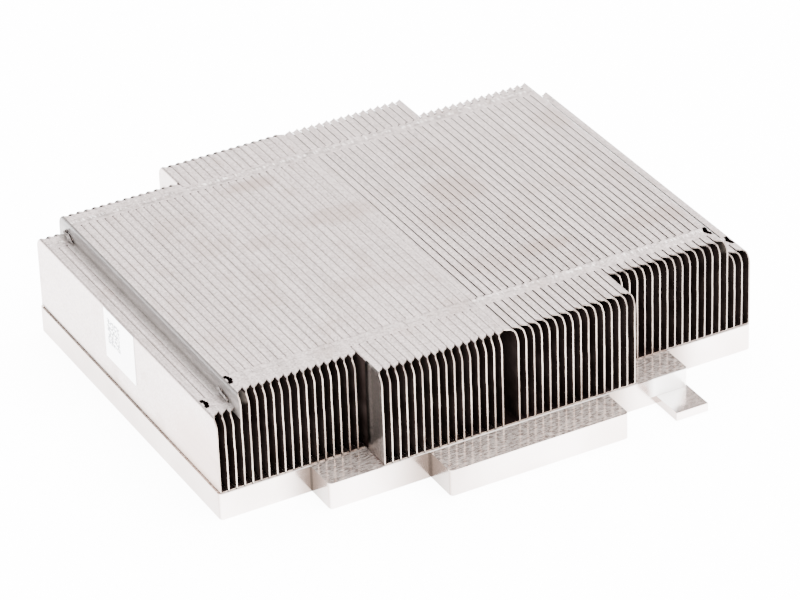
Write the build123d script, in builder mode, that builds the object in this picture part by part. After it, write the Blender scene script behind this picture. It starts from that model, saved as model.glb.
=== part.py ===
from build123d import *
import os

# Passive server CPU heatsink: a machined base plate under two stacks of folded sheet fins.
# X runs along the row of fins, Y from the front of the plate to its back, Z up.
# The origin is the middle of the underside. All sizes are in millimetres.

# Fins: each is one folded sheet, with both flanges turned towards the middle of the row
fin_pitch = 1.65
fin_sheet = 0.4
bend_flat = 0.35
fin_depth = 77.0
fin_height = 19.3
low_fin_height = 15.8
flange_setback = 1.9
corner_cut = 1.3
middle_gap = 3.3
fins_per_stack = 34
low_fins = 3
long_fins = 16
fins_per_long_node = 2

# Locks: tabs on each flange sit in windows through the bend of the next fin
lock_from_front = 6.1
lock_from_back = 5.0
window_length = 3.0
window_width = 0.85
window_drop = 0.6
tab_reach = 0.6

# Clearances
seam_gap = 0.05
lock_gap = 0.1

# Base plate, with a lug and a narrower ledge at the front and at the back
base_thick = 5.6
side_margin = 0.25
front_margin = 0.15
back_margin = 0.65
lug_step = 7.2
lug_overhang = 11.4
ledge_step = 7.6
ledge_width = 37.7
ledge_offset = 1.6
outer_corner = 0.8
inner_corner = 0.6
edge_break = 0.2

# Clip plate: a thin plate that stands out of each lug, flush with its end and its underside
clip_width = 6.9
clip_length = 7.1
clip_thick = 1.7

# Label on the outer face of the left end fin, just under its top bend
label_length = 12.8
label_height = 10.6
label_thick = 0.1
label_from_front = 34.0

# Places worked out from the sizes above
row_half = middle_gap / 2 + (fins_per_stack - 1) * fin_pitch
long_half = middle_gap / 2 + (long_fins - 1) * fin_pitch
base_width = 2 * (row_half + side_margin) + fin_sheet
base_depth = front_margin + fin_depth + back_margin
lug_width = 2 * (long_half + lug_overhang) + fin_sheet
lug_depth = base_depth + 2 * lug_step
fin_front = front_margin - base_depth / 2
fin_back = fin_front + fin_depth
lock_places = (fin_front + lock_from_front, fin_back - lock_from_back)
flange_width = fin_pitch - seam_gap
middle_flange_width = (middle_gap + fin_sheet - seam_gap) / 2
web_face = -fin_sheet / 2


def make_fin(height, reach, flange, has_tabs):
    """One fin of the left stack, with its web on X = 0 and its flanges turned towards +X."""
    front = fin_front - reach
    back = fin_back + reach
    top = base_thick + height
    web_top = top - window_drop
    flange_edge = web_face + flange
    with BuildPart() as fin:
        # the sheet folded to a C, seen from the front, with one flat for each bend
        with BuildSketch(Plane.XZ.offset(-front)) as section:
            with Locations((web_face, base_thick)):
                Rectangle(flange, height, align=Align.MIN)
            chamfer(section.vertices().group_by(Axis.X)[0], length=bend_flat)
            with Locations((web_face + fin_sheet, base_thick + fin_sheet)):
                Rectangle(flange, height - 2 * fin_sheet, align=Align.MIN, mode=Mode.SUBTRACT)
        extrude(amount=front - back)
        # seen from the side, the corners are cut and the top flange stops short of both ends
        with BuildSketch(Plane.YZ.offset(web_face)) as side_view:
            with Locations((front, base_thick)):
                Rectangle(back - front, height - window_drop, align=Align.MIN)
            chamfer(side_view.vertices().group_by(Axis.Y)[-1], length=corner_cut)
            with Locations((front + flange_setback, web_top)):
                Rectangle(back - front - 2 * flange_setback, window_drop, align=Align.MIN)
        extrude(amount=flange, mode=Mode.INTERSECT)
        # the lock windows through the top bend
        with BuildSketch(Plane.XY.offset(web_top)):
            with Locations(*[(web_face, place) for place in lock_places]):
                Rectangle(window_width, window_length, align=(Align.MIN, Align.CENTER))
        extrude(amount=window_drop, mode=Mode.SUBTRACT)
        # the lock tabs on the free edge of the top flange
        if has_tabs:
            with BuildSketch(Plane.XY.offset(top - fin_sheet)):
                with Locations(*[(flange_edge, place) for place in lock_places]):
                    Rectangle(seam_gap + tab_reach, window_length - 2 * lock_gap,
                              align=(Align.MIN, Align.CENTER))
            extrude(amount=fin_sheet)
    return fin.part


def mirror_fin(shape):
    """The same fin as it stands in the right stack."""
    with BuildPart() as mirrored:
        mirror(shape, about=Plane.YZ)
    return mirrored.part


def make_base_plate():
    """The machined plate, with its lugs, ledges and clip plates, the same turned end for end."""
    with BuildPart() as plate:
        with BuildSketch() as outline:
            Rectangle(base_width, base_depth)
            Rectangle(lug_width, lug_depth)
            for side in (-1, 1):
                with Locations((-side * ledge_offset, side * lug_depth / 2)):
                    Rectangle(ledge_width, 2 * ledge_step)
            rows = [row.sort_by(Axis.X) for row in outline.vertices().group_by(Axis.Y)]
            outer_corners = [row[place] for row in rows for place in (0, -1)]
            inner_corners = [corner for row in rows for corner in row[1:-1]]
            fillet(outer_corners, radius=outer_corner)
            fillet(inner_corners, radius=inner_corner)
        extrude(amount=base_thick)
        chamfer(plate.faces().sort_by(Axis.Z)[0].edges(), length=edge_break)
        with BuildSketch():
            for side in (-1, 1):
                with Locations((-side * lug_width / 2, side * (lug_depth / 2 - outer_corner))):
                    inward = Align.MIN if side > 0 else Align.MAX
                    Rectangle(clip_width, outer_corner + clip_length, align=inward)
        extrude(amount=clip_thick)
    return plate.part


def make_label():
    """The label, flat on the outer face of the left end fin."""
    top = base_thick + low_fin_height - bend_flat
    with BuildPart() as label:
        with BuildSketch(Plane.YZ.offset(web_face - row_half - label_thick)):
            with Locations((fin_front + label_from_front + label_length / 2, top - label_height / 2)):
                Rectangle(label_length, label_height)
        extrude(amount=label_thick)
    return label.part


def save(part, name):
    """Labels a part and writes it to its own file."""
    part.label = name
    export_step(part, f"parts/{name}.step")


def fin_place(number):
    """X of the web of a fin, with the fins numbered from 1 at the left end of the row."""
    if number <= fins_per_stack:
        return -row_half + (number - 1) * fin_pitch
    return row_half - (2 * fins_per_stack - number) * fin_pitch


def fin_kind(number):
    """Which of the five kinds of fin stands at a place."""
    from_end = min(number, 2 * fins_per_stack + 1 - number)
    if from_end < low_fins:
        return "low"
    if from_end == low_fins:
        return "last_low"
    if from_end <= fins_per_stack - long_fins:
        return "side"
    return "middle" if from_end == fins_per_stack else "long"


def save_fins(shapes, numbers, name):
    """Writes one node with the fins of the given numbers, each a solid of its own."""
    with BuildPart() as node:
        for number in numbers:
            with Locations((fin_place(number), 0, 0)):
                add(shapes[fin_kind(number), number > fins_per_stack])
    save(node.part, name)


def main():
    os.makedirs("parts", exist_ok=True)
    save(make_base_plate(), "base_plate")
    save(make_label(), "label")

    left_fins = {
        "low": make_fin(low_fin_height, 0, flange_width, True),
        "last_low": make_fin(low_fin_height, 0, flange_width, False),
        "side": make_fin(fin_height, 0, flange_width, True),
        "long": make_fin(fin_height, lug_step, flange_width, True),
        "middle": make_fin(fin_height, lug_step, middle_flange_width, False),
    }
    shapes = {(kind, False): shape for kind, shape in left_fins.items()}
    shapes.update({(kind, True): mirror_fin(shape) for kind, shape in left_fins.items()})

    total = 2 * fins_per_stack
    side_fins = fins_per_stack - long_fins
    for number in [*range(1, side_fins + 1), *range(total - side_fins + 1, total + 1)]:
        kind = "low" if "low" in fin_kind(number) else "side"
        save_fins(shapes, [number], f"{kind}_fin_{number:02d}")
    for first in range(side_fins + 1, total - side_fins + 1, fins_per_long_node):
        last = min(first + fins_per_long_node - 1, total - side_fins)
        save_fins(shapes, range(first, last + 1), f"long_fins_{first:02d}_{last:02d}")


main()
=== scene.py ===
import math

import bpy
import numpy as np
from mathutils import Matrix, Vector, noise


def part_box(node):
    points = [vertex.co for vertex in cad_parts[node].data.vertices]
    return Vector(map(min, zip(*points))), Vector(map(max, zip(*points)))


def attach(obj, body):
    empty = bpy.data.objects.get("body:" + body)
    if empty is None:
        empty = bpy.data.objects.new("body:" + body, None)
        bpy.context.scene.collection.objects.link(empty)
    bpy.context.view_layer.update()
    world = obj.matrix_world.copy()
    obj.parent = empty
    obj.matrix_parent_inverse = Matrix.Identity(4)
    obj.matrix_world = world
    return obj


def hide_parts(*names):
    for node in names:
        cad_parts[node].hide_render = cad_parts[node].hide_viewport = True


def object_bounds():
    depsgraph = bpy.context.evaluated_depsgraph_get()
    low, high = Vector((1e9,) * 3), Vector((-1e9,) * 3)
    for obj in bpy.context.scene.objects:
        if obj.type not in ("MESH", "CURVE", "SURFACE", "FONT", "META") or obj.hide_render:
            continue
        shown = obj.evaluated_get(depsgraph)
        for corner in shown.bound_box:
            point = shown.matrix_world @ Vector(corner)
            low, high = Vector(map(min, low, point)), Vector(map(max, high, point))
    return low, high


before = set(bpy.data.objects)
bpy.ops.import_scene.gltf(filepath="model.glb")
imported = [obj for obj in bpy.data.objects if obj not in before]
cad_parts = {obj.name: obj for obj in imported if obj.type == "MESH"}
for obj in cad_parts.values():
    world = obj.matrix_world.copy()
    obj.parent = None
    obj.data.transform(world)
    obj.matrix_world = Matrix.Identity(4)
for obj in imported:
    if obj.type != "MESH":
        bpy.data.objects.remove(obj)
cad_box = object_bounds()

# Sizes are in millimetres, and are turned to metres where a mesh, an object or a mask is made
MM = 0.001

# The hand of a fin: its flanges point to +X in the left stack and to -X in the right one
LEFT, RIGHT = 1, -1

# The two faces of the sheet
OUTSIDE, INSIDE_FACE = 1, -1

# The folded sheet, its bends, and the gap between a flange and the next fin
SHEET = 0.4
BEND_RADIUS = 0.6
BEND_STEPS = 4
SEAM_GAP = 0.05

# The inner skin is drawn this far inside the middle of the sheet, not on its inner face, so that the
# cut edges look as thin as in the photograph
INNER_SKIN = 0.05

# How far the ends of the sheet stand back from the web's edge: at the foot, round the top corner and
# along the top flange, which ends in a small point at its free edge
FOOT_BACK = 0.25
CORNER_RADIUS = 2.4
CORNER_SHARES = (0.2, 0.38, 0.54, 0.68)
FLANGE_BACK_AT_BEND = 1.75
FLANGE_BACK_AT_TIP = 2.35
SPIKES = {LEFT: 0.35, RIGHT: 0.06}
SPIKE_WIDTH = 0.22

# Rows of the mesh along the fin: shares of the zone behind each end, that zone's extra length, the
# longest step beside it, and the count of rows between the locks
END_SHARES = (0.0, 0.05, 0.2, 0.45, 0.72, 1.0)
END_MARGIN = 0.6
LONGEST_STEP = 3
MIDDLE_ROWS = 9

# Lock windows and tabs. The lobe of an empty window narrows in two steps towards the flange's tip:
# LOBE_TO and LOBE_FROM are the half lengths of the steps along the fin.
LOCK_FROM_FRONT = 6.1
LOCK_FROM_BACK = 5.0
LOCK_GAP = 0.01
WINDOW_LENGTH = 3.0
WINDOW_WIDTH = 0.85
LOBE_WIDTH = 0.3
LOBE_FROM = 0.5
LOBE_TO = 1.15
TAB_REACH = 0.845
TAB_SHARES = (0.3, 0.65, 1.0)

# How far the tabs are pressed down, and the dents that the pressing left beside them
TAB_PRESS = {LEFT: 0.008, RIGHT: 0.12}
LEAST_PRESS = 0.002
DENT_DEPTH = 0.11
DENT_REACH = 0.62

# Fins whose front windows stand empty
OPEN_WINDOWS = (1, 4, 65, 68)

# The last low fin, whose tabs are crushed against the taller fin beside it, how rough they are, and the
# seed of their folds, without which each run would fold them in another way
CRUSHED_TAB_FIN = 3
CRUMPLE = {"front": 0.5, "back": 0.9}
CRUMPLE_SEED = 300

# How far the top edge of a flange leans over the next bend: at the front lock, at the back lock, and
# outside the locks of the left stack's short fins, where it all but closes the seam
LEAN_FRONT = {LEFT: 0.06, RIGHT: 0.14}
LEAN_BACK = {LEFT: 0.05, RIGHT: 0.30}
LEAN_CLOSED = 0.34

# The wave of the webs: the slow wave, each fin's own wave, and a jog at this share of the height
SLOW_WAVE = 0.035
OWN_WAVE = 0.012
JOG_SIZE = 0.03
JOG_RISE = 0.56

# How far down from the top a bend shows between two fins of the same height
SHOULDER = 0.3

# How far the painted light under an empty window reaches, back from the front edge and down from the
# top
WINDOW_LIGHT = 6.0

# What each face of a fin is made of, as a place in the list of its materials. INSIDE is near-black
# painted shade deep in the gaps, LIT is painted light under the empty windows, and SHADED_SKIN is
# grained skin darkened with painted shade
SKIN, CUT, INSIDE, LIT, SHADED_SKIN = range(5)

# The photograph's camera
CAMERA_PLACE = (-319.9, -615.2, 425.0)
CAMERA_AZIMUTH = -27.606
CAMERA_ELEVATION = 30.975
CAMERA_ROLL = -2.064
CAMERA_LENS = 189.98
SENSOR_WIDTH = 36.0

# The floor and the lamp above it, in metres and watts
FLOOR_HALF = 4.0
FLOOR_GLOW = 10.0
LAMP_PLACE = (0.1, -0.1, 1.3)
LAMP_SIZE = 2.4
LAMP_POWER = 123

# Soft patches of light in the room: direction, the angles in degrees where the light starts and where
# it is full, and its strength outside and inside them
LIGHT_PATCHES = (
    ((-0.60, 0.75, 0.35), 45, 12, 0.0, 1.6),
    ((0.55, 0.65, 0.52), 62, 12, 0.6, 4.2),
    ((0.45, -0.75, 0.55), 50, 12, 0.0, 4.0),
)


def to_mm(vector):
    """A corner of the frame in millimetres."""
    return Vector(vector) / MM


class Fin:
    """Where one fin stands: its number, its web's X, its hand and its ends, in millimetres.

    Its outer neighbour is the next fin towards the end of the row, its inner one towards the middle.
    """

    def __init__(self, number, web_x, hand, low, high):
        self.number = number
        self.web_x = web_x
        self.hand = hand
        self.front, self.back = low.y, high.y
        self.foot, self.top = low.z, high.z
        self.outer = self.inner = None
        self.filled = number not in OPEN_WINDOWS
        self.stands_short = True

    def covers(self, y, z):
        """Whether this fin hides a point on the web of the next fin."""
        return self.front < y < self.back and z < self.top - BEND_RADIUS


def find_fins():
    """The fins of each node, all fins by their numbers, and the fin pitch, read from the frame."""
    left_end = to_mm(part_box("side_fin_04")[0]).x
    pitch = to_mm(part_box("side_fin_05")[0]).x - left_end
    found = {}
    for name in sorted(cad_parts):
        if "fin" not in name:
            continue
        numbers = [int(word) for word in name.split("_") if word.isdigit()]
        low, high = (to_mm(corner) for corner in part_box(name))
        hand = LEFT if (low.x + high.x) / 2 < 0 else RIGHT
        outer = low.x + SHEET / 2 if hand == LEFT else high.x - SHEET / 2
        outermost = numbers[0] if hand == LEFT else numbers[-1]
        found[name] = [
            Fin(number, outer + (number - outermost) * pitch, hand, low, high)
            for number in range(numbers[0], numbers[-1] + 1)
        ]
    every = {fin.number: fin for fins in found.values() for fin in fins}
    shallow = max(fin.front for fin in every.values())
    for fin in every.values():
        fin.outer = every.get(fin.number - fin.hand)
        fin.inner = every.get(fin.number + fin.hand)
        fin.stands_short = fin.front > shallow - 1
    return found, every, pitch


def web_heights(fin, web_low, web_high):
    """Heights of the points on the straight web, closer together at the jog and the top corner."""
    corner_start = fin.top - CORNER_RADIUS
    jog = fin.foot + JOG_RISE * (fin.top - fin.foot)
    heights = list(np.linspace(web_low, jog - 1.0, 5)) + [jog - 0.35, jog, jog + 0.35]
    heights += list(np.linspace(jog + 1.0, corner_start, 3))
    heights += [corner_start + CORNER_RADIUS * share for share in CORNER_SHARES]
    return [z for z in heights if z < web_high - 0.05] + [web_high]


def section_stations(fin, flange_tip):
    """Points along the sheet's middle, as (x, z, outward normal x and z), and their named places."""
    middle = BEND_RADIUS - SHEET / 2
    low = fin.foot + SHEET / 2
    high = fin.top - SHEET / 2
    window_edge = WINDOW_WIDTH - SHEET / 2
    flange = [middle, window_edge, window_edge + LOBE_WIDTH, flange_tip - SPIKE_WIDTH, flange_tip]
    tab_root = flange_tip + SEAM_GAP
    tab = [tab_root + TAB_REACH * share for share in TAB_SHARES]
    arc = [math.radians(90 * step / BEND_STEPS) for step in range(1, BEND_STEPS)]
    web = web_heights(fin, low + middle, high - middle)
    stations = [(x, low, 0, -1) for x in reversed(flange)]
    stations += [(middle - middle * math.sin(a), low + middle - middle * math.cos(a),
                  -math.sin(a), -math.cos(a)) for a in arc]
    stations += [(0, z, -1, 0) for z in web]
    stations += [(middle - middle * math.cos(a), high - middle + middle * math.sin(a),
                  -math.cos(a), math.sin(a)) for a in arc]
    stations += [(x, high, 0, 1) for x in flange + tab]
    low_bend = len(flange) - 1
    marks = {"low_window": low_bend - 1, "low_bend": low_bend, "low_web": low_bend + BEND_STEPS}
    marks["web"] = marks["low_web"] + len(web) - 1
    marks["bend_end"] = marks["web"] + BEND_STEPS
    marks["window"] = marks["bend_end"] + 1
    marks["lobe"] = marks["window"] + 1
    marks["tip"] = marks["bend_end"] + len(flange) - 1
    return stations, marks


def setback(fin, x, z, flange_tip):
    """How far the sheet's end stands back from the web's edge at a point of the section."""
    middle = BEND_RADIUS - SHEET / 2
    if z < fin.foot + BEND_RADIUS:
        return FOOT_BACK * min(x / middle, 1) if x > 0 else 0.0
    start = fin.top - CORNER_RADIUS
    if z <= start:
        return 0.0
    if x < middle - 1e-6:
        rise = min(z - start, CORNER_RADIUS)
        curve = CORNER_RADIUS - math.sqrt(max(CORNER_RADIUS ** 2 - rise ** 2, 0))
        return min(curve, FLANGE_BACK_AT_BEND)
    share = min((x - middle) / (flange_tip - middle), 1)
    spike = SPIKES[fin.hand] * min(max((x - flange_tip + SPIKE_WIDTH) / SPIKE_WIDTH, 0), 1)
    return FLANGE_BACK_AT_BEND + share * (FLANGE_BACK_AT_TIP - FLANGE_BACK_AT_BEND) + spike


def steps_between(start, end):
    """Even steps between two places, without the places themselves."""
    gap = end - start
    count = int(gap // LONGEST_STEP)
    return [start + gap * (k + 1) / (count + 1) for k in range(count)]


def depth_rows(fin, lock_places):
    """Rows of the sheet, as (y, pull of the front outline, pull of the back outline)."""
    half = WINDOW_LENGTH / 2
    steps = [LOBE_FROM, LOBE_TO, half - LOCK_GAP, half]
    around = [-step for step in reversed(steps)] + steps
    first, last = lock_places
    zone = FLANGE_BACK_AT_TIP + SPIKES[LEFT] + END_MARGIN
    plain = steps_between(fin.front + zone, first - half)
    plain += [first + step for step in around]
    plain += list(np.linspace(first + half, last - half, MIDDLE_ROWS + 2)[1:-1])
    plain += [last + step for step in around]
    plain += steps_between(last + half, fin.back - zone)
    rows = [(fin.front + zone * share, 1 - share, 0) for share in END_SHARES]
    rows += [(y, 0, 0) for y in plain]
    rows += [(fin.back - zone * share, 0, 1 - share) for share in reversed(END_SHARES)]
    return rows


def sway(fin, y, z):
    """Sideways wave of the web: none at its bends, more near its open ends, with one shallow jog."""
    if fin.outer is None:
        return 0.0
    rise = (z - fin.foot) / (fin.top - fin.foot)
    pin = max(math.sin(math.pi * min(max(rise, 0), 1)), 0) ** 0.7
    edge = max(min(y - fin.front, fin.back - y), 0)
    near_edge = 0.3 + 0.7 * math.exp(-edge / 6)
    slow = noise.noise(Vector((fin.number * 0.21, y * 0.03, z * 0.12))) * SLOW_WAVE
    own = noise.noise(Vector((fin.number * 3.7, y * 0.05 + 9, z * 0.25))) * OWN_WAVE
    jog_size = JOG_SIZE + JOG_SIZE * noise.noise(Vector((fin.number * 1.9, 4.0, 0)))
    past_jog = rise - JOG_RISE - 0.05 * noise.noise(Vector((fin.number * 0.35, 7.0, 0)))
    jog = -jog_size * math.tanh(past_jog / 0.03) * math.exp(-abs(past_jog) / 0.25)
    return pin * near_edge * (slow + own + jog)


def tab_drop(fin, share, y):
    """How far a tab is pressed down into its window, uneven from tab to tab."""
    unevenness = noise.noise(Vector((fin.number * 2.3, y * 1.1, 0)))
    return max(TAB_PRESS[fin.hand] * (1 + 1.2 * unevenness), LEAST_PRESS) * share


def lock_dent(fin, x, y, near):
    """Small dents that the pressing left in the flange beside a window."""
    fade = max(1 - near / (WINDOW_LENGTH * DENT_REACH), 0) ** 0.5
    dents = noise.noise(Vector((fin.number * 5.1 + x * 1.3, y * 1.4, 2.0))) + 0.25
    return fade * DENT_DEPTH * max(dents, 0)


def lean_over(fin, y, near, lock_places):
    """How far the top edge of the flange leans over the next bend at a place along the fin."""
    if near < WINDOW_LENGTH / 2:
        return 0.0
    past_locks = not lock_places[0] < y < lock_places[1]
    beside_same = fin.inner.front == fin.front
    if past_locks and fin.hand == LEFT and beside_same and fin.stands_short:
        return LEAN_CLOSED
    share = (y - lock_places[0]) / (lock_places[1] - lock_places[0])
    front, back = LEAN_FRONT[fin.hand], LEAN_BACK[fin.hand]
    return front + (back - front) * min(max(share, 0), 1)


class Surface:
    """The points, the faces and the kind of each face of one piece, as it is built."""

    def __init__(self):
        self.points = []
        self.faces = []
        self.kinds = []

    def add_point(self, x, y, z):
        """Takes a point in millimetres and gives its number."""
        self.points.append((x * MM, y * MM, z * MM))
        return len(self.points) - 1

    def add_face(self, kind, corners):
        self.faces.append(corners)
        self.kinds.append(kind)

    def make_object(self, name, materials, smooth_angle=40):
        """A smooth shaded mesh object with sharp cut edges."""
        mesh = bpy.data.meshes.new(name)
        mesh.from_pydata(self.points, [], self.faces)
        for material in materials:
            mesh.materials.append(material)
        mesh.polygons.foreach_set("material_index", self.kinds)
        mesh.validate()
        mesh.shade_smooth()
        mesh.set_sharp_from_angle(angle=math.radians(smooth_angle))
        piece = bpy.data.objects.new(name, mesh)
        bpy.context.scene.collection.objects.link(piece)
        return piece


class FinSheet:
    """One folded fin as a closed mesh: the outer skin, the inner skin and the cut edges between."""

    def __init__(self, fin, flange_tip, has_tabs, meets_middle, lock_places, surface):
        self.fin = fin
        self.flange_tip = flange_tip
        self.has_tabs = has_tabs
        self.meets_middle = meets_middle
        self.lock_places = lock_places
        self.surface = surface
        self.stations, self.marks = section_stations(fin, flange_tip)
        self.rows = depth_rows(fin, lock_places)
        self.numbers = {}

    def from_lock(self, y):
        """Distance from the middle of the nearest lock window."""
        return min(abs(y - place) for place in self.lock_places)

    def face_middle(self, i, j):
        """Y and Z of the middle of a face."""
        y = (self.rows[j][0] + self.rows[j + 1][0]) / 2
        z = (self.stations[i][1] + self.stations[i + 1][1]) / 2
        return y, z

    def in_empty_window(self, i, near):
        """Whether a face is cut away by an empty window, whose lobe reaches to the flange's tip."""
        marks = self.marks
        if near < LOBE_FROM:
            return marks["bend_end"] <= i < marks["tip"]
        end = marks["tip"] - 1 if near < LOBE_TO else marks["lobe"]
        return marks["bend_end"] - 1 <= i < end

    def kept(self, i, j):
        """Whether a face is there, so not in a window and not between the tabs."""
        marks, half = self.marks, WINDOW_LENGTH / 2
        y = self.face_middle(i, j)[0]
        near = self.from_lock(y)
        if i >= marks["tip"]:
            return self.has_tabs and near < half - LOCK_GAP
        if near > half:
            return True
        if not self.fin.filled:
            return y > 0 or not self.in_empty_window(i, near)
        in_top_window = marks["web"] - 1 <= i < marks["window"]
        in_low_window = marks["low_window"] <= i < marks["low_web"]
        return not (in_top_window or in_low_window)

    def point(self, i, j, face):
        """A point of the outer or the inner skin, in millimetres."""
        fin, marks = self.fin, self.marks
        x, z, normal_x, normal_z = self.stations[i]
        y, front_pull, back_pull = self.rows[j]
        back = setback(fin, x, z, self.flange_tip)
        near = self.from_lock(y)
        y = y + back * front_pull - back * back_pull
        if i >= marks["bend_end"]:
            z -= lock_dent(fin, x, y, near)
        if i > marks["tip"]:
            z -= tab_drop(fin, (i - marks["tip"]) / len(TAB_SHARES), y)
        if i == marks["tip"] and face == OUTSIDE and not self.meets_middle:
            x += lean_over(fin, y, near, self.lock_places)
        out = SHEET / 2 if face == OUTSIDE else -INNER_SKIN
        x = x + normal_x * out + fin.hand * sway(fin, y, z)
        return fin.web_x + fin.hand * x, y, z + normal_z * out

    def corner(self, *key):
        """The number of a point in the surface, which is added when it is first asked for."""
        if key not in self.numbers:
            self.numbers[key] = self.surface.add_point(*self.point(*key))
        return self.numbers[key]

    def add_face(self, kind, *keys):
        corners = [self.corner(*key) for key in keys]
        self.surface.add_face(kind, corners if self.fin.hand == LEFT else corners[::-1])

    def in_window_light(self, y, z):
        return y - self.fin.front < WINDOW_LIGHT and z > self.fin.top - WINDOW_LIGHT

    def top_kind(self, i, y, z):
        """The kind of a face on the top bend or the top flange."""
        outer = self.fin.outer
        if outer.top < self.fin.top or y < outer.front:
            return SHADED_SKIN if i < self.marks["bend_end"] - 1 else SKIN
        hidden = y < outer.back and z < self.fin.top - SHOULDER
        return INSIDE if hidden else SKIN

    def web_kind(self, y, z):
        """The kind of a face on the web or the lower bend."""
        outer = self.fin.outer
        if not outer.covers(y, z):
            return SHADED_SKIN if y < outer.back else SKIN
        under_empty_window = not outer.filled and outer.outer is not None
        return LIT if under_empty_window and self.in_window_light(y, z) else INSIDE

    def outer_kind(self, i, j):
        """The kind of a face of the outer skin."""
        fin, marks = self.fin, self.marks
        if i < marks["low_bend"]:
            return INSIDE
        if fin.inner.top > fin.top and i >= marks["bend_end"] - 1:
            return SHADED_SKIN
        if fin.outer is None:
            return SKIN
        y, z = self.face_middle(i, j)
        return self.top_kind(i, y, z) if i >= marks["web"] else self.web_kind(y, z)

    def inner_kind(self, i, j):
        """The kind of a face of the inner skin, which only shows behind the right stack's windows."""
        fin = self.fin
        behind_empty = fin.hand == RIGHT and not fin.filled and fin.outer is not None
        on_web = i < self.marks["web"]
        lit = behind_empty and on_web and self.in_window_light(*self.face_middle(i, j))
        return LIT if lit else INSIDE

    def build(self):
        """Adds all the faces: both skins of each cell, and an edge where the next cell is missing."""
        last_station, last_row = len(self.stations) - 1, len(self.rows) - 1
        cells = {(i, j) for i in range(last_station) for j in range(last_row) if self.kept(i, j)}
        out, back = OUTSIDE, INSIDE_FACE
        for i, j in sorted(cells):
            k, m = i + 1, j + 1
            self.add_face(self.outer_kind(i, j), (i, j, out), (i, m, out), (k, m, out), (k, j, out))
            self.add_face(self.inner_kind(i, j), (i, j, back), (k, j, back), (k, m, back), (i, m, back))
            if (i, j - 1) not in cells:
                kind = CUT if j == 0 else INSIDE
                self.add_face(kind, (i, j, out), (k, j, out), (k, j, back), (i, j, back))
            if (i, m) not in cells:
                kind = CUT if m == last_row else INSIDE
                self.add_face(kind, (i, m, out), (i, m, back), (k, m, back), (k, m, out))
            if (i - 1, j) not in cells:
                self.add_face(INSIDE, (i, j, out), (i, j, back), (i, m, back), (i, m, out))
            if (k, j) not in cells:
                self.add_face(INSIDE, (k, j, out), (k, m, out), (k, m, back), (k, j, back))


def make_fins(materials):
    """One piece for each fin node, in finer mesh than the node it stands for."""
    found, every, pitch = find_fins()
    total = len(every)
    shallow = max(fin.front for fin in every.values())
    deep = min(fin.back for fin in every.values())
    lock_places = (shallow + LOCK_FROM_FRONT, deep - LOCK_FROM_BACK)
    flange_tip = pitch - SEAM_GAP - SHEET / 2
    middle_tip = min(abs(fin.web_x) for fin in every.values()) - SEAM_GAP / 2
    for name, fins in found.items():
        surface = Surface()
        for fin in fins:
            meets_middle = fin.number in (total // 2, total // 2 + 1)
            tip = middle_tip if meets_middle else flange_tip
            has_tabs = not meets_middle and fin.inner.top == fin.top
            FinSheet(fin, tip, has_tabs, meets_middle, lock_places, surface).build()
        piece = surface.make_object(f"{name}_sheet", materials)
        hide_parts(name)
        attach(piece, "root")
    for end, place in zip(("front", "back"), lock_places):
        make_crushed_tab(every[CRUSHED_TAB_FIN], flange_tip, place, end, materials)


def crushed_point(fin, flange_tip, y, along, over, rough, face):
    """A point of the crushed tab, in millimetres, at its shares along Y and over its curl."""
    half_sheet = 0.06
    # it stands higher towards its back end, unevenly
    tall = 0.5 + 1.1 * along + rough * noise.noise(Vector((y * 1.3, 3.0, 0)))
    x = flange_tip - 0.1 - 0.5 * math.sin(2.6 * over) * (1 - 0.4 * over) - face * half_sheet
    z = fin.top + tall * math.sin(1.9 * over)
    folds = noise.noise_vector(Vector((over * 4.5, y * 1.9, 5.0)))
    folds = folds * 0.6 * rough * min(3 * over, 1)
    x = min(x + folds.x, flange_tip)
    z = max(z + folds.z, fin.top - 0.02)
    return fin.web_x + fin.hand * x, y + folds.y, z


def make_crushed_tab(fin, flange_tip, place, end, materials):
    """The tab of the last low fin, bent up and crushed against the taller fin beside it."""
    rows, columns = 18, 9
    longer = 0.8
    noise.seed_set(CRUMPLE_SEED)
    surface = Surface()
    numbers = {}
    for face in (OUTSIDE, INSIDE_FACE):
        for j in range(rows + 1):
            y = place + (j / rows - 0.5) * (WINDOW_LENGTH + longer)
            for i in range(columns + 1):
                point = crushed_point(fin, flange_tip, y, j / rows, i / columns, CRUMPLE[end], face)
                numbers[i, j, face] = surface.add_point(*point)

    def add(kind, *keys):
        surface.add_face(kind, [numbers[key] for key in keys])

    out, back = OUTSIDE, INSIDE_FACE
    for j in range(rows):
        m = j + 1
        for i in range(columns):
            k = i + 1
            add(SHADED_SKIN, (i, j, out), (i, m, out), (k, m, out), (k, j, out))
            add(INSIDE, (i, j, back), (k, j, back), (k, m, back), (i, m, back))
        add(CUT, (0, j, out), (0, j, back), (0, m, back), (0, m, out))
        add(CUT, (columns, j, out), (columns, m, out), (columns, m, back), (columns, j, back))
    for i in range(columns):
        k = i + 1
        add(CUT, (i, 0, out), (k, 0, out), (k, 0, back), (i, 0, back))
        add(CUT, (i, rows, out), (i, rows, back), (k, rows, back), (k, rows, out))
    piece = surface.make_object(f"crushed_tab_{end}", materials, smooth_angle=25)
    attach(piece, "root")


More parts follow.
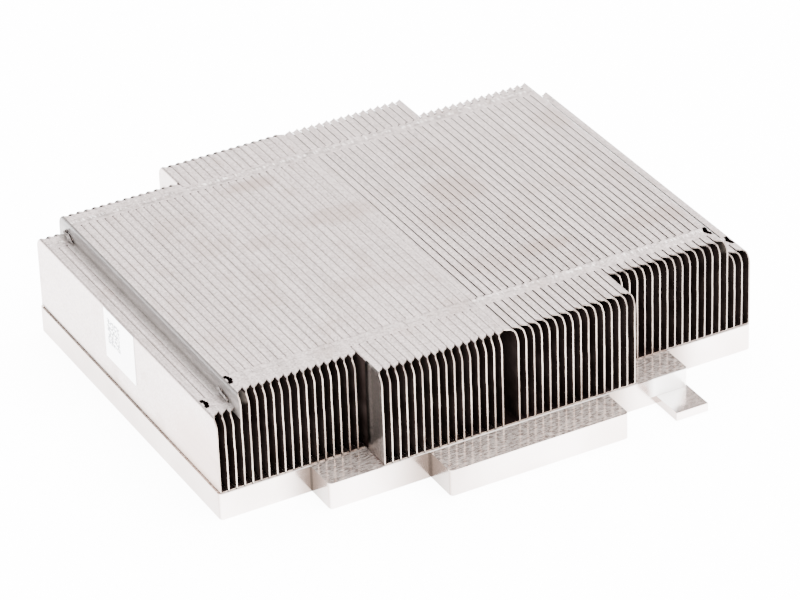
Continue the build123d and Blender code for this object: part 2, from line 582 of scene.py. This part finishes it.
class Paint:
    """A new material, with short calls for the shader nodes used here."""

    def __init__(self, name):
        self.material = bpy.data.materials.new(name)
        self.material.use_nodes = True
        self.tree = self.material.node_tree
        self.shader = self.tree.nodes["Principled BSDF"]
        coordinates = self.node("ShaderNodeTexCoord")
        self.place = coordinates.outputs["Object"]
        self.facing = coordinates.outputs["Normal"]

    def node(self, kind, **settings):
        made = self.tree.nodes.new(kind)
        for key, value in settings.items():
            setattr(made, key, value)
        return made

    def feed(self, source, socket):
        """Links a socket, or sets its number or colour."""
        if isinstance(source, bpy.types.NodeSocket):
            self.tree.links.new(source, socket)
        else:
            socket.default_value = source

    def set(self, socket, source):
        self.feed(source, self.shader.inputs[socket])

    def axes(self, vector=None):
        """The parts of a vector by the names X, Y and Z, of the place if none is given."""
        node = self.node("ShaderNodeSeparateXYZ")
        self.feed(vector or self.place, node.inputs[0])
        return node.outputs

    def math(self, operation, first, second=0.0):
        node = self.node("ShaderNodeMath", operation=operation)
        self.feed(first, node.inputs[0])
        self.feed(second, node.inputs[1])
        return node.outputs[0]

    def product(self, first, *others):
        for other in others:
            first = self.math("MULTIPLY", first, other)
        return first

    def highest(self, values):
        first, *others = values
        for other in others:
            first = self.math("MAXIMUM", first, other)
        return first

    def vector_math(self, operation, first, second=None):
        """The node itself, whose output is named Vector or Value."""
        node = self.node("ShaderNodeVectorMath", operation=operation)
        self.feed(first, node.inputs[0])
        if second is not None:
            self.feed(second, node.inputs[1])
        return node

    def span(self, value, low, high, to_low=0.0, to_high=1.0):
        """Value mapped smoothly from one range to another, and held at its ends."""
        node = self.node("ShaderNodeMapRange", interpolation_type="SMOOTHSTEP")
        self.feed(value, node.inputs["Value"])
        sockets = ("From Min", "From Max", "To Min", "To Max")
        for socket, number in zip(sockets, (low, high, to_low, to_high)):
            self.feed(number, node.inputs[socket])
        return node.outputs["Result"]

    def span_mm(self, value, low, high, to_low=0.0, to_high=1.0):
        """The same for a length, with its range in millimetres."""
        return self.span(value, low * MM, high * MM, to_low, to_high)

    def band_mm(self, value, middle, half):
        """1 where a length lies within a half width of a place, 0 elsewhere."""
        inside = self.math("COMPARE", value, middle * MM)
        inside.node.inputs[2].default_value = half * MM
        return inside

    def mix(self, first, second, share):
        node = self.node("ShaderNodeMix", data_type="RGBA")
        self.feed(share, node.inputs[0])
        self.feed(first, node.inputs[6])
        self.feed(second, node.inputs[7])
        return node.outputs[2]

    def stretch(self, scale, turn=0):
        """The place, turned by degrees about Z and then scaled by three factors per metre."""
        node = self.node("ShaderNodeMapping")
        node.inputs["Rotation"].default_value = (0, 0, math.radians(turn))
        node.inputs["Scale"].default_value = scale
        self.feed(self.place, node.inputs["Vector"])
        return node.outputs["Vector"]

    def noise(self, scale, turn=0, detail=2.0, roughness=0.5):
        node = self.node("ShaderNodeTexNoise")
        self.feed(self.stretch(scale, turn), node.inputs["Vector"])
        node.inputs["Scale"].default_value = 1.0
        node.inputs["Detail"].default_value = detail
        node.inputs["Roughness"].default_value = roughness
        return node.outputs["Fac"]

    def blob(self, centre, size, wobble):
        """1 in the middle of a soft patch with the given half sizes, 0 outside it."""
        shift = self.vector_math("SUBTRACT", self.place, [value * MM for value in centre])
        scaled = self.vector_math("MULTIPLY", shift.outputs[0], [1 / (value * MM) for value in size])
        length = self.vector_math("LENGTH", scaled.outputs[0]).outputs["Value"]
        return self.span(self.math("ADD", length, wobble), 0.3, 1.2, 1.0, 0.0)

    def bump(self, height, strength, distance):
        node = self.node("ShaderNodeBump")
        self.feed(height, node.inputs["Height"])
        node.inputs["Strength"].default_value = strength
        node.inputs["Distance"].default_value = distance
        self.set("Normal", node.outputs["Normal"])


# Colours of the fins' rolled skin, and of the painted shade, shadows and glints laid on it
SHEET_DARK = (0.23, 0.197, 0.19, 1)
SHEET_LIGHT = (0.56, 0.49, 0.48, 1)
STAIN_BROWN = (0.26, 0.20, 0.175, 1)
WARM_BROWN = (0.30, 0.20, 0.16, 1)
END_FACE_SHADE_GREY = (0.30, 0.245, 0.23, 1)
JOINT_SHADOW_BROWN = (0.22, 0.15, 0.105, 1)
LOCK_SHADE_GREY = (0.16, 0.14, 0.135, 1)
PAINTED_GLINT_WHITE = (0.95, 0.92, 0.90, 1)
FOOT_SHADOW_BROWN = (0.05, 0.03, 0.018, 1)

# Stains on the tops of the fins: X, Y, half length along X, half length along Y, strength
STAIN_HEIGHT = 4.0
STAINS = (
    (-16.0, 28.5, 7.5, 3.0, 1.0),
    (-8.0, 9.5, 7.5, 3.5, 0.8),
    (17.5, 6.5, 5.0, 5.5, 0.9),
    (11.0, -2.5, 5.0, 5.0, 0.8),
    (19.5, 19.0, 5.0, 4.5, 0.5),
    (25.0, -21.5, 7.5, 3.0, 1.0),
    (43.0, -23.0, 9.0, 3.0, 0.8),
    (9.5, -22.0, 7.0, 4.0, 0.6),
    (48.5, 21.0, 4.5, 3.5, 0.6),
    (49.5, -4.5, 4.5, 4.5, 0.5),
    (-32.0, -12.5, 6.0, 3.5, 0.55),
    (-15.0, -14.5, 5.5, 3.0, 0.5),
    (-24.5, 7.5, 4.0, 2.5, 0.6),
    (-34.0, 22.0, 6.5, 4.0, 0.5),
    (-46.5, -19.5, 4.5, 4.0, 0.5),
)

# Painted shade in dark spots beside the locks, where the tilted tabs and the small pits at their ends
# lie in shade: Y, half width and strength
LOCK_SHADES = ((-31.1, 0.35, 0.4), (-32.4, 0.35, 0.4), (33.25, 1.0, 0.6))

# Rows of painted highlights, glints off the bent tab edges, on the tops: Y, and their strength on the
# left and the right stack
PAINTED_GLINT_ROWS = ((-32.1, 0.1, 0.6), (33.5, 0.6, 0.6))
PAINTED_GLINT_HALF = 0.45

# The warm tint low on the left end fin: its middle, and half its size along each axis
WARM_PLACE = (-56.3, -34.0, 9.0)
WARM_SIZE = (3.0, 22.0, 9.0)


def add_stains(paint, metal, top):
    """Soft brownish stains on the tops: the mixed colour and the share of the stain."""
    cloud = paint.noise((60, 45, 60), detail=4, roughness=0.6)
    mottle = paint.noise((150, 130, 150), detail=3)
    wobble = paint.span(cloud, 0.3, 0.7, -0.6, 0.6)
    shares = [paint.span(mottle, 0.54, 0.68, 0.0, 0.5)]
    for x, y, half_x, half_y, strength in STAINS:
        patch = paint.blob((x, y, top), (half_x, half_y, STAIN_HEIGHT), wobble)
        shares.append(paint.product(patch, strength))
    stain = paint.highest(shares)
    stained = paint.mix(metal, STAIN_BROWN, paint.product(stain, 0.66))
    warm = paint.blob(WARM_PLACE, WARM_SIZE, paint.span(cloud, 0.3, 0.7, -0.2, 0.2))
    return paint.mix(stained, WARM_BROWN, paint.product(warm, 0.8)), stain


def add_end_face_shades(paint, metal, foot_height):
    """Painted shade that greys the end fins' outer faces, with a brown painted shadow over the joint at
    the foot.
    """
    axes = paint.axes()
    outer_side = paint.span(paint.math("ABSOLUTE", paint.axes(paint.facing)["X"]), 0.5, 0.9)
    metal = paint.mix(metal, END_FACE_SHADE_GREY, paint.product(outer_side, 0.5))
    joint_shadow = paint.product(
        paint.span_mm(axes["Z"], foot_height + 2.4, foot_height + 0.7),
        paint.span_mm(axes["Y"], 4, 16, 0.6, 0.1),
        outer_side,
    )
    return paint.mix(metal, JOINT_SHADOW_BROWN, joint_shadow)


def add_lock_shade_and_glints(paint, metal):
    """Painted shade in dark spots beside the locks, and painted highlights in rows of glints across the
    tops.
    """
    axes = paint.axes()
    on_top = paint.span(paint.axes(paint.facing)["Z"], 0.85, 0.95)
    spots = paint.span(paint.noise((700, 1100, 700)), 0.48, 0.62)
    # painted shade: dark spots in bands beside the locks
    for place, half, strength in LOCK_SHADES:
        band = paint.product(paint.band_mm(axes["Y"], place, half), on_top)
        pressed = paint.math("ADD", paint.product(spots, strength), 0.06)
        metal = paint.mix(metal, LOCK_SHADE_GREY, paint.product(band, pressed))
    # painted highlights: rows of near-white glints across the tops
    glints = paint.span(paint.noise((3200, 500, 3200), turn=38, detail=1), 0.56, 0.64)
    for place, left, right in PAINTED_GLINT_ROWS:
        row = paint.product(
            paint.band_mm(axes["Y"], place, PAINTED_GLINT_HALF),
            paint.span_mm(axes["X"], -1, 1, left, right),
            on_top,
        )
        metal = paint.mix(metal, PAINTED_GLINT_WHITE, paint.product(glints, row))
    return metal


def make_skin_material(foot_height, top):
    """Rolled aluminium sheet, with faint streaks along Y, a fine grain and soft brownish stains, and
    with painted shade on the end faces, beside the locks and along the foot, and painted glints across
    the tops.
    """
    paint = Paint("fin_sheet")
    streaks = paint.noise((1400, 16, 900), detail=3)
    grain = paint.noise((2600, 2600, 2600), detail=2, roughness=0.6)
    shade = paint.math("ADD", paint.span(streaks, 0.3, 0.7, -0.1, 0.1),
                       paint.span(grain, 0.3, 0.7, -0.33, 0.33))
    clean = paint.mix(SHEET_DARK, SHEET_LIGHT, paint.math("ADD", shade, 0.5))
    metal, stain = add_stains(paint, clean, top)
    metal = add_end_face_shades(paint, metal, foot_height)
    metal = add_lock_shade_and_glints(paint, metal)
    axes = paint.axes()
    # painted shadow along the foot, where the sheet meets the plate: dark brown and less metallic,
    # fainter towards the front
    foot = paint.product(
        paint.span_mm(axes["Z"], foot_height + 1.1, foot_height + 0.6),
        paint.span_mm(axes["Y"], -34, 0, 0.2, 1.0),
    )
    paint.set("Base Color", paint.mix(metal, FOOT_SHADOW_BROWN, foot))
    paint.set("Metallic", paint.math("SUBTRACT", 1.0, paint.product(foot, 0.9)))
    dulled = paint.math("ADD", streaks, paint.product(stain, 0.3))
    paint.set("Roughness", paint.span(dulled, 0.2, 1.0, 0.3, 0.5))
    paint.bump(paint.math("ADD", grain, paint.product(streaks, 0.5)), 0.35, 0.00006)
    return paint.material


def make_cut_material():
    """The sheared front and back edges of the sheet, duller and creamier than its faces."""
    paint = Paint("fin_cut_edge")
    nicks = paint.noise((900, 900, 500))
    lengths = paint.noise((500, 500, 110))
    worn = paint.math("ADD", paint.product(nicks, 0.4), paint.product(lengths, 0.6))
    dark, light, right_end = (0.21, 0.165, 0.145, 1), (0.50, 0.42, 0.37, 1), (0.19, 0.155, 0.145, 1)
    edge = paint.mix(dark, light, paint.span(worn, 0.34, 0.6))
    to_right = paint.span_mm(paint.axes()["X"], 15, 45, 0.0, 0.6)
    paint.set("Base Color", paint.mix(edge, right_end, to_right))
    paint.set("Metallic", 1.0)
    paint.set("Roughness", paint.span(nicks, 0.3, 0.7, 0.45, 0.65))
    paint.bump(nicks, 0.2, 0.00005)
    return paint.material


def make_shaded_skin_material(short_front, foot, low_top):
    """The grained skin where a fin's side stands clear of its neighbour, darkened with painted shade.
    """
    paint = Paint("fin_grained_painted_shade")
    grain = paint.noise((2800, 2800, 2800), roughness=0.7)
    cloud = paint.noise((120, 120, 120), detail=3)
    streaks = paint.noise((200, 300, 60))
    axes = paint.axes()
    y, z = axes["Y"], axes["Z"]
    # painted shade in front of the short fins: black beside them, light further out, and light low down
    out = paint.product(paint.span_mm(y, short_front - 1.7, short_front - 2.5, 0.01, 0.36),
                        paint.span_mm(y, short_front - 2.9, short_front - 3.7, 1.0, 0.62))
    reach = paint.product(paint.math("SUBTRACT", y, short_front * MM), 0.9)
    height = paint.math("ADD", paint.math("SUBTRACT", z, foot * MM), reach)
    low = paint.span_mm(height, 1.0, -0.8, 0.0, 0.8)
    # painted shade above the low fins: darker from their tops upwards
    wall = paint.span_mm(z, low_top + 0.8, low_top + 2.4, 0.48, 0.19)
    behind = paint.span_mm(y, short_front - 0.1, short_front + 0.1)
    light = paint.math("ADD", paint.math("MAXIMUM", out, low), paint.product(behind, wall))
    uneven = paint.span(paint.math("ADD", cloud, streaks), 0.7, 1.3, 0.88, 1.1)
    light = paint.product(light, uneven, paint.span(grain, 0.3, 0.7, 0.65, 1.35))
    paint.set("Base Color", paint.mix((0.004, 0.003, 0.003, 1), (0.42, 0.37, 0.35, 1), light))
    paint.set("Metallic", paint.math("SUBTRACT", 1.0, paint.product(behind, 0.8)))
    paint.set("Roughness", paint.span(grain, 0.3, 0.7, 0.35, 0.5))
    paint.bump(grain, 0.4, 0.00008)
    return paint.material


def make_gap_shade_material():
    """Painted shade: near-black faces deep in the gaps, which light hardly reaches."""
    paint = Paint("fin_inside")
    cloud = paint.noise((300, 120, 200))
    dark, light = (0.007, 0.0045, 0.004, 1), (0.016, 0.011, 0.010, 1)
    paint.set("Base Color", paint.mix(dark, light, paint.span(cloud, 0.35, 0.7)))
    paint.set("Roughness", 0.9)
    paint.set("Specular IOR Level", 0.0)
    return paint.material


def make_window_painted_light_material(front, top):
    """Painted light on the web under an empty window: a dusky patch near the front edge, with black
    painted shade below and behind it.
    """
    paint = Paint("fin_window_painted_light")
    axes = paint.axes()
    depth = paint.math("SUBTRACT", axes["Y"], front * MM)
    fall = paint.math("ADD", axes["Z"], paint.product(depth, 0.67))
    lit = paint.product(
        paint.span_mm(fall, top - 2.2, top - 1.1),
        paint.span_mm(depth, 3.2, 5.0, 1.0, 0.0),
        paint.span_mm(axes["X"], -1, 1, 1.0, 0.35),
    )
    cloud = paint.noise((500, 300, 500))
    brown = paint.mix((0.085, 0.07, 0.058, 1), (0.15, 0.13, 0.115, 1), paint.span(cloud, 0.3, 0.7))
    paint.set("Base Color", paint.mix((0.010, 0.007, 0.006, 1), brown, lit))
    paint.set("Roughness", 0.9)
    paint.set("Specular IOR Level", 0.0)
    return paint.material


# Colours of the plate's sides, painted darker as shade where they face X and lighter as painted light
# at the fronts and backs, and of its milled top
SHADED_SIDE_TONES = ((0.25, 0.20, 0.18, 1), (0.33, 0.28, 0.26, 1))
LIT_FRONT_TONES = ((0.52, 0.45, 0.42, 1), (0.62, 0.56, 0.54, 1))
MILLED = ((0.35, 0.27, 0.24, 1), (1.0, 0.87, 0.80, 1))
# painted shade around the inner corners
CORNER_SHADE_TINTS = ((0.15, 0.125, 0.11, 1), (0.19, 0.15, 0.13, 1))
# painted shade in the dark line along each inner corner
CREASE_SHADE_BLACK = (0.04, 0.035, 0.03, 1)
CLIP_GREY = (0.58, 0.49, 0.455, 1)
# painted highlight along the top's front and back rims
RIM_HIGHLIGHT = (0.80, 0.74, 0.71, 1)
# painted reflection over the clip plates and the lug faces behind them
GLARE_WHITE = (0.97, 0.95, 0.94, 1)

# Painted highlights along the front and back rims of the plate's top: distance from the middle, start
# and end along X
BASE_HIGHLIGHT_RIMS = ((38.9, 38.0, 57.0), (46.1, -1.0, 27.0))

# The clip plate's left side, its sizes and the lug's front face; the other clip plate lies opposite
CLIP_LEFT = 31.1
CLIP_WIDE = 6.9
CLIP_LONG = 7.1
CLIP_THICK = 1.7
LUG_FRONT = 46.1

# The plate's inner corners at the front: X, Y, and how far the painted shade reaches around them. Those
# at the back lie opposite.
INNER_CORNERS = (
    (-37.8, -38.9, 9.0),
    (-17.25, -46.1, 15.0),
    (20.45, -46.1, 9.0),
    (38.0, -38.9, 9.0),
)
CORNER_POWER = 1.3


def front_place(paint):
    """The place with the plate's back half turned half round onto its front half, and with Z 0."""
    flip = paint.node("ShaderNodeCombineXYZ")
    to_front = paint.product(paint.math("SIGN", paint.axes()["Y"]), -1.0)
    paint.feed(to_front, flip.inputs[0])
    paint.feed(to_front, flip.inputs[1])
    return paint.vector_math("MULTIPLY", paint.place, flip.outputs[0]).outputs[0]


def corner_shades(paint, folded):
    """Shares of the soft painted shade around the inner corners and of the dark line of painted shade
    in them.
    """
    soft, lines = [], []
    for x, y, wide in INNER_CORNERS:
        reach = paint.vector_math("SUBTRACT", folded, (x * MM, y * MM, 0))
        flat = paint.vector_math("MULTIPLY", reach.outputs[0], (1, 1, 0))
        distance = paint.vector_math("LENGTH", flat.outputs[0]).outputs["Value"]
        soft.append(paint.span_mm(distance, 0.2, wide, 1.0, 0.0))
        lines.append(paint.span_mm(distance, 0.4, 0.55, 0.5, 0.0))
    return paint.math("POWER", paint.highest(soft), CORNER_POWER), paint.highest(lines)


def rim_highlight_share(paint, top):
    """The painted highlights along the rims at the front and the back of the plate's top."""
    axes = paint.axes()
    out = paint.math("ABSOLUTE", axes["Y"])
    across = paint.math("ABSOLUTE", axes["X"])
    rims = [paint.product(
        paint.band_mm(out, edge - 0.1, 0.2),
        paint.span_mm(across, start - 0.3, start + 0.3),
        paint.span_mm(across, end - 0.3, end + 0.3, 1.0, 0.0),
    ) for edge, start, end in BASE_HIGHLIGHT_RIMS]
    return paint.product(paint.highest(rims), paint.span_mm(axes["Z"], top - 0.15, top - 0.05))


def glare_share(paint, folded, above_clip, on_top):
    """The painted reflection: a bright patch over the clip plate and the lug's face behind it."""
    axes = paint.axes(folded)
    along = paint.product(paint.math("SUBTRACT", axes["X"], CLIP_LEFT * MM), 1 / (CLIP_WIDE * MM))
    outward = paint.product(paint.math("SUBTRACT", -LUG_FRONT * MM, axes["Y"]), 1 / (CLIP_LONG * MM))
    return paint.product(
        paint.span(paint.math("ADD", along, outward), 0.7, 1.15, 1.0, 0.0),
        paint.span(along, -0.35, -0.05),
        paint.span_mm(axes["Y"], 0.1 - LUG_FRONT, 0.3 - LUG_FRONT, 1.0, 0.0),
        paint.span(along, 1.0, 1.005, 1.0, 0.0),
        paint.math("MAXIMUM", above_clip, on_top),
    )


def make_base_material(top):
    """The machined plate: fine milling marks on top, and smoother sides painted darker where they face
    X and lighter where they face Y, with painted shade into the inner corners, painted highlights along
    the top's front and back rims and a painted reflection over the clip plates and the lug faces behind
    them.
    """
    paint = Paint("machined_plate")
    one_way = paint.noise((700, 2600, 900), turn=20)
    other_way = paint.noise((700, 2600, 900), turn=-24)
    pits = paint.noise((1500, 1500, 1500), roughness=0.6)
    cloud = paint.span(paint.noise((70, 70, 70), detail=3), 0.3, 0.7)
    marks = paint.product(paint.math("ADD", one_way, other_way), 0.5)
    marks = paint.math("ADD", paint.product(marks, 0.7), paint.product(pits, 0.3))
    folded = front_place(paint)
    facing = paint.axes(paint.facing)
    on_top = paint.span(facing["Z"], 0.5, 0.9)
    faces_out = paint.span(paint.math("ABSOLUTE", facing["Y"]), 0.3, 0.9)
    above_clip = paint.span_mm(paint.axes()["Z"], CLIP_THICK, CLIP_THICK + 0.1)
    corner, crease_shade = corner_shades(paint, folded)
    rim_highlight = rim_highlight_share(paint, top)
    glare = glare_share(paint, folded, above_clip, on_top)
    # painted shade and light: sides facing X darker, fronts and backs facing Y lighter
    metal = paint.mix(paint.mix(*SHADED_SIDE_TONES, cloud), paint.mix(*LIT_FRONT_TONES, cloud), faces_out)
    metal = paint.mix(metal, paint.mix(*CORNER_SHADE_TINTS, faces_out), corner)
    metal = paint.mix(metal, CREASE_SHADE_BLACK, crease_shade)
    milled = paint.mix(*MILLED, paint.span(marks, 0.38, 0.62))
    milled = paint.mix(CLIP_GREY, milled, paint.span(above_clip, 0.0, 1.0, 0.25, 1.0))
    metal = paint.mix(metal, paint.mix(milled, RIM_HIGHLIGHT, rim_highlight), on_top)
    paint.set("Base Color", paint.mix(metal, GLARE_WHITE, glare))
    # less metallic on the top, and more so in the painted highlights and the painted glare, so the lamp
    # lights them brighter
    diffuse = paint.product(on_top, paint.math("ADD", 0.28, paint.product(rim_highlight, 0.65)))
    diffuse = paint.math("MAXIMUM", diffuse, paint.product(glare, 0.8))
    paint.set("Metallic", paint.math("SUBTRACT", 1.0, diffuse))
    paint.set("Roughness", paint.span(marks, 0.35, 0.65, 0.10, 0.2))
    paint.bump(paint.product(marks, on_top), 0.06, 0.0001)
    return paint.material


def make_label_material(high):
    """White film with one block of blurred grey cells, none of it readable."""
    paint = Paint("label_film")
    axes = paint.axes()
    cells = paint.noise((1900, 1900, 1900), detail=0)
    ink = paint.product(
        paint.span(cells, 0.42, 0.5, 0.0, 0.93),
        paint.span_mm(axes["Y"], high.y - 1.6, high.y - 1.2, 1.0, 0.0),
        paint.span_mm(axes["Y"], high.y - 6.8, high.y - 6.4),
        paint.span_mm(axes["Z"], high.z - 1.8, high.z - 1.4, 1.0, 0.0),
        paint.span_mm(axes["Z"], high.z - 7.2, high.z - 6.8),
    )
    paint.set("Base Color", paint.mix((0.97, 0.97, 0.98, 1), (0.05, 0.06, 0.08, 1), ink))
    paint.set("Roughness", 0.3)
    paint.set("Coat Weight", paint.math("SUBTRACT", 1.0, ink))
    paint.set("Coat Roughness", 0.3)
    return paint.material


def dress_node(name, material):
    """Gives a carried-over CAD node its own material."""
    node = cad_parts[name]
    node.data.materials.clear()
    node.data.materials.append(material)


def make_floor():
    """A wide pale floor, bright as an overexposed sheet of paper."""
    mesh = bpy.data.meshes.new("floor")
    corners = [(x * FLOOR_HALF, y * FLOOR_HALF, 0) for x, y in ((-1, -1), (1, -1), (1, 1), (-1, 1))]
    mesh.from_pydata(corners, [], [(0, 1, 2, 3)])
    floor = bpy.data.objects.new("floor", mesh)
    bpy.context.scene.collection.objects.link(floor)
    paint = Paint("floor_white")
    paint.set("Base Color", (0.92, 0.93, 0.95, 1))
    paint.set("Roughness", 0.9)
    paint.set("Emission Color", (1.0, 1.0, 1.0, 1))
    paint.set("Emission Strength", FLOOR_GLOW)
    mesh.materials.append(paint.material)


def make_camera():
    data = bpy.data.cameras.new("camera")
    data.sensor_width = SENSOR_WIDTH
    data.lens = CAMERA_LENS
    data.clip_start = 0.01
    camera = bpy.data.objects.new("camera", data)
    bpy.context.scene.collection.objects.link(camera)
    turn = (Matrix.Rotation(math.radians(CAMERA_AZIMUTH), 4, "Z")
            @ Matrix.Rotation(math.radians(90 - CAMERA_ELEVATION), 4, "X")
            @ Matrix.Rotation(math.radians(CAMERA_ROLL), 4, "Z"))
    camera.matrix_world = Matrix.Translation(Vector(CAMERA_PLACE) * MM) @ turn
    bpy.context.scene.camera = camera


def make_lamp():
    """A wide lamp above the object, aimed at its middle."""
    data = bpy.data.lights.new("overhead", "AREA")
    data.shape = "RECTANGLE"
    data.size = data.size_y = LAMP_SIZE
    data.energy = LAMP_POWER
    lamp = bpy.data.objects.new("overhead", data)
    lamp.location = LAMP_PLACE
    lamp.rotation_euler = (-Vector(LAMP_PLACE)).to_track_quat("-Z", "Y").to_euler()
    bpy.context.scene.collection.objects.link(lamp)


def light_patch(tree, direction, aim, wide, narrow, low, high):
    """The strength of one soft patch of light, as a socket."""
    dot = tree.nodes.new("ShaderNodeVectorMath")
    dot.operation = "DOT_PRODUCT"
    dot.inputs[1].default_value = Vector(aim).normalized()
    spread = tree.nodes.new("ShaderNodeMapRange")
    spread.interpolation_type = "SMOOTHSTEP"
    spread.inputs["From Min"].default_value = math.cos(math.radians(wide))
    spread.inputs["From Max"].default_value = math.cos(math.radians(narrow))
    spread.inputs["To Min"].default_value = low
    spread.inputs["To Max"].default_value = high
    tree.links.new(direction, dot.inputs[0])
    tree.links.new(dot.outputs["Value"], spread.inputs["Value"])
    return spread.outputs["Result"]


def make_room():
    """A dim room with wide soft patches of light, behind the object and in front of it."""
    world = bpy.data.worlds.new("studio")
    bpy.context.scene.world = world
    world.use_nodes = True
    tree = world.node_tree
    background = tree.nodes["Background"]
    direction = tree.nodes.new("ShaderNodeTexCoord").outputs["Generated"]
    first, *others = [light_patch(tree, direction, *patch) for patch in LIGHT_PATCHES]
    for other in others:
        both = tree.nodes.new("ShaderNodeMath")
        tree.links.new(first, both.inputs[0])
        tree.links.new(other, both.inputs[1])
        first = both.outputs[0]
    tree.links.new(first, background.inputs["Strength"])
    background.inputs["Color"].default_value = (1.0, 0.97, 0.95, 1)


def dress_part():
    """Makes the fins, and gives the plate and the label their materials."""
    top = to_mm(cad_box[1]).z
    short_front = to_mm(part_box("side_fin_04")[0]).y
    low_top = to_mm(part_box("low_fin_01")[1]).z
    plate_top = to_mm(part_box("base_plate")[1]).z
    # in the order of SKIN, CUT, INSIDE, LIT and SHADED_SKIN
    make_fins([
        make_skin_material(plate_top, top),
        make_cut_material(),
        make_gap_shade_material(),
        make_window_painted_light_material(short_front, top),
        make_shaded_skin_material(short_front, plate_top, low_top),
    ])
    dress_node("base_plate", make_base_material(plate_top))
    dress_node("label", make_label_material(to_mm(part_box("label")[1])))


make_camera()
dress_part()
make_floor()
make_room()
make_lamp()
